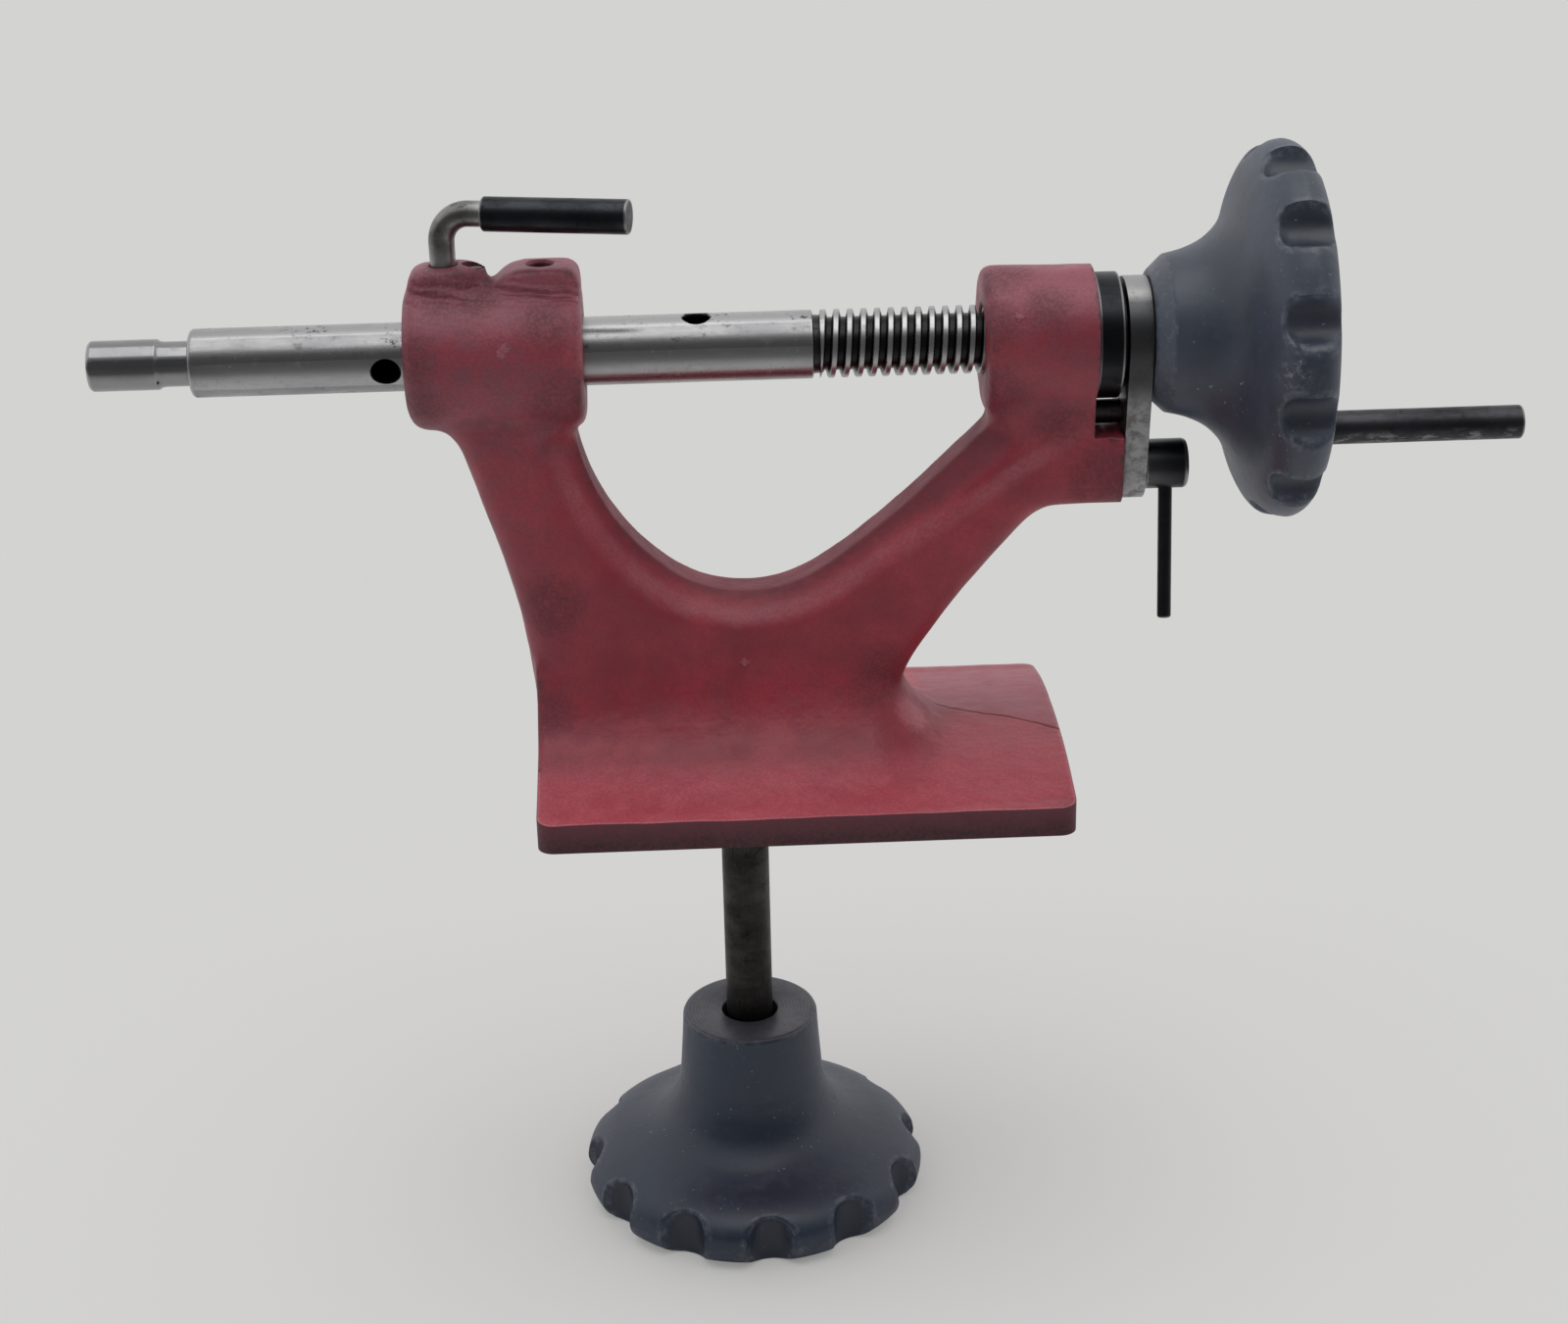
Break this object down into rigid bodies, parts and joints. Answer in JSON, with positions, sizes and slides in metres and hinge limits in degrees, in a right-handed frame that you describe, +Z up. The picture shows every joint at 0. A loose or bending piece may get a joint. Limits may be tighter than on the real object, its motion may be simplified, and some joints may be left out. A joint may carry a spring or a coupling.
{
  "type": "lathe tailstock",
  "caption": "Cast tailstock on a crowned base: screw-fed quill in two barrels over a U throat, scalloped handwheel with crank, bent lock lever, and a clamp stud with a scalloped knob.",
  "frame": {"origin": "centre of the base's machined underside", "axes": "+X along the quill from its nose to the handwheel, +Y away from the operator's side with the key screw bar, +Z up"},
  "size_m": [0.4273, 0.1112, 0.3418],
  "materials": {
    "casting_paint": "wine red satin paint on rough cast iron, worn dark at the edges",
    "wheel_paint": "dark slate blue satin paint with pale specks and greyish wear",
    "turned_steel": "turned mid grey steel with fine scratches and pits",
    "polished_steel": "polished ground steel",
    "black_steel": "black oxide steel with worn edges",
    "grey_steel": "mottled grey machined steel",
    "stud_steel": "rough dark grey bar with pits",
    "pad_brass": "plain brass"
  },
  "bodies": {
    "frame": {"tailstock_casting": "casting_paint", "quill_key": "grey_steel", "thrust_washer": "grey_steel", "keeper_plate": "grey_steel", "keeper_dowel": "grey_steel", "lock_pad": "pad_brass", "grub_screw": "grey_steel", "clamp_stud": "stud_steel"},
    "quill": {"quill": "turned_steel", "nose_insert": "polished_steel"},
    "handwheel": {"handwheel": "wheel_paint", "screw_nut": "black_steel", "wheel_key": "grey_steel", "wheel_ring_nut": "black_steel", "crank_handle": "black_steel"},
    "clamp_screw": {"clamp_screw": "black_steel", "clamp_screw_bar": "black_steel"},
    "lock_lever": {"lock_lever": "grey_steel", "lever_grip": "black_steel"},
    "knob_bush": {"knob_bush": "grey_steel"},
    "clamp_knob": {"clamp_knob": "wheel_paint"}
  },
  "joints": [
    {"name": "handwheel_turn", "type": "hinge", "parent": "frame", "child": "handwheel", "pos_m": [0.1, 0, 0.1366], "axis": [-1, 0, 0], "range_deg": [-4040, 2690]},
    {"name": "quill_feed", "type": "slide", "parent": "frame", "child": "quill", "axis": [-1, 0, 0], "range_m": [-0.045, 0.03]},
    {"name": "clamp_screw_turn", "type": "hinge", "parent": "frame", "child": "clamp_screw", "pos_m": [0.11, 0, 0.0962], "axis": [1, 0, 0], "range_deg": [-120, 130]},
    {"name": "lock_lever_turn", "type": "hinge", "parent": "frame", "child": "lock_lever", "pos_m": [-0.1008, 0, 0.16], "axis": [0, 0, 1], "range_deg": [-20, 120]},
    {"name": "clamp_knob_turn", "type": "hinge", "parent": "knob_bush", "child": "clamp_knob", "pos_m": [-0.0187, 0, -0.12], "axis": [0, 0, 1], "range_deg": [-1070, 5390]},
    {"name": "clamp_knob_travel", "type": "slide", "parent": "frame", "child": "knob_bush", "axis": [0, 0, 1], "range_m": [-0.006, 0.03]}
  ],
  "couplings": [
    {"joint": "quill_feed", "follows": "handwheel_turn", "m_per_rad": 0.00063662},
    {"joint": "clamp_knob_travel", "follows": "clamp_knob_turn", "m_per_rad": 0.00031831}
  ]
}
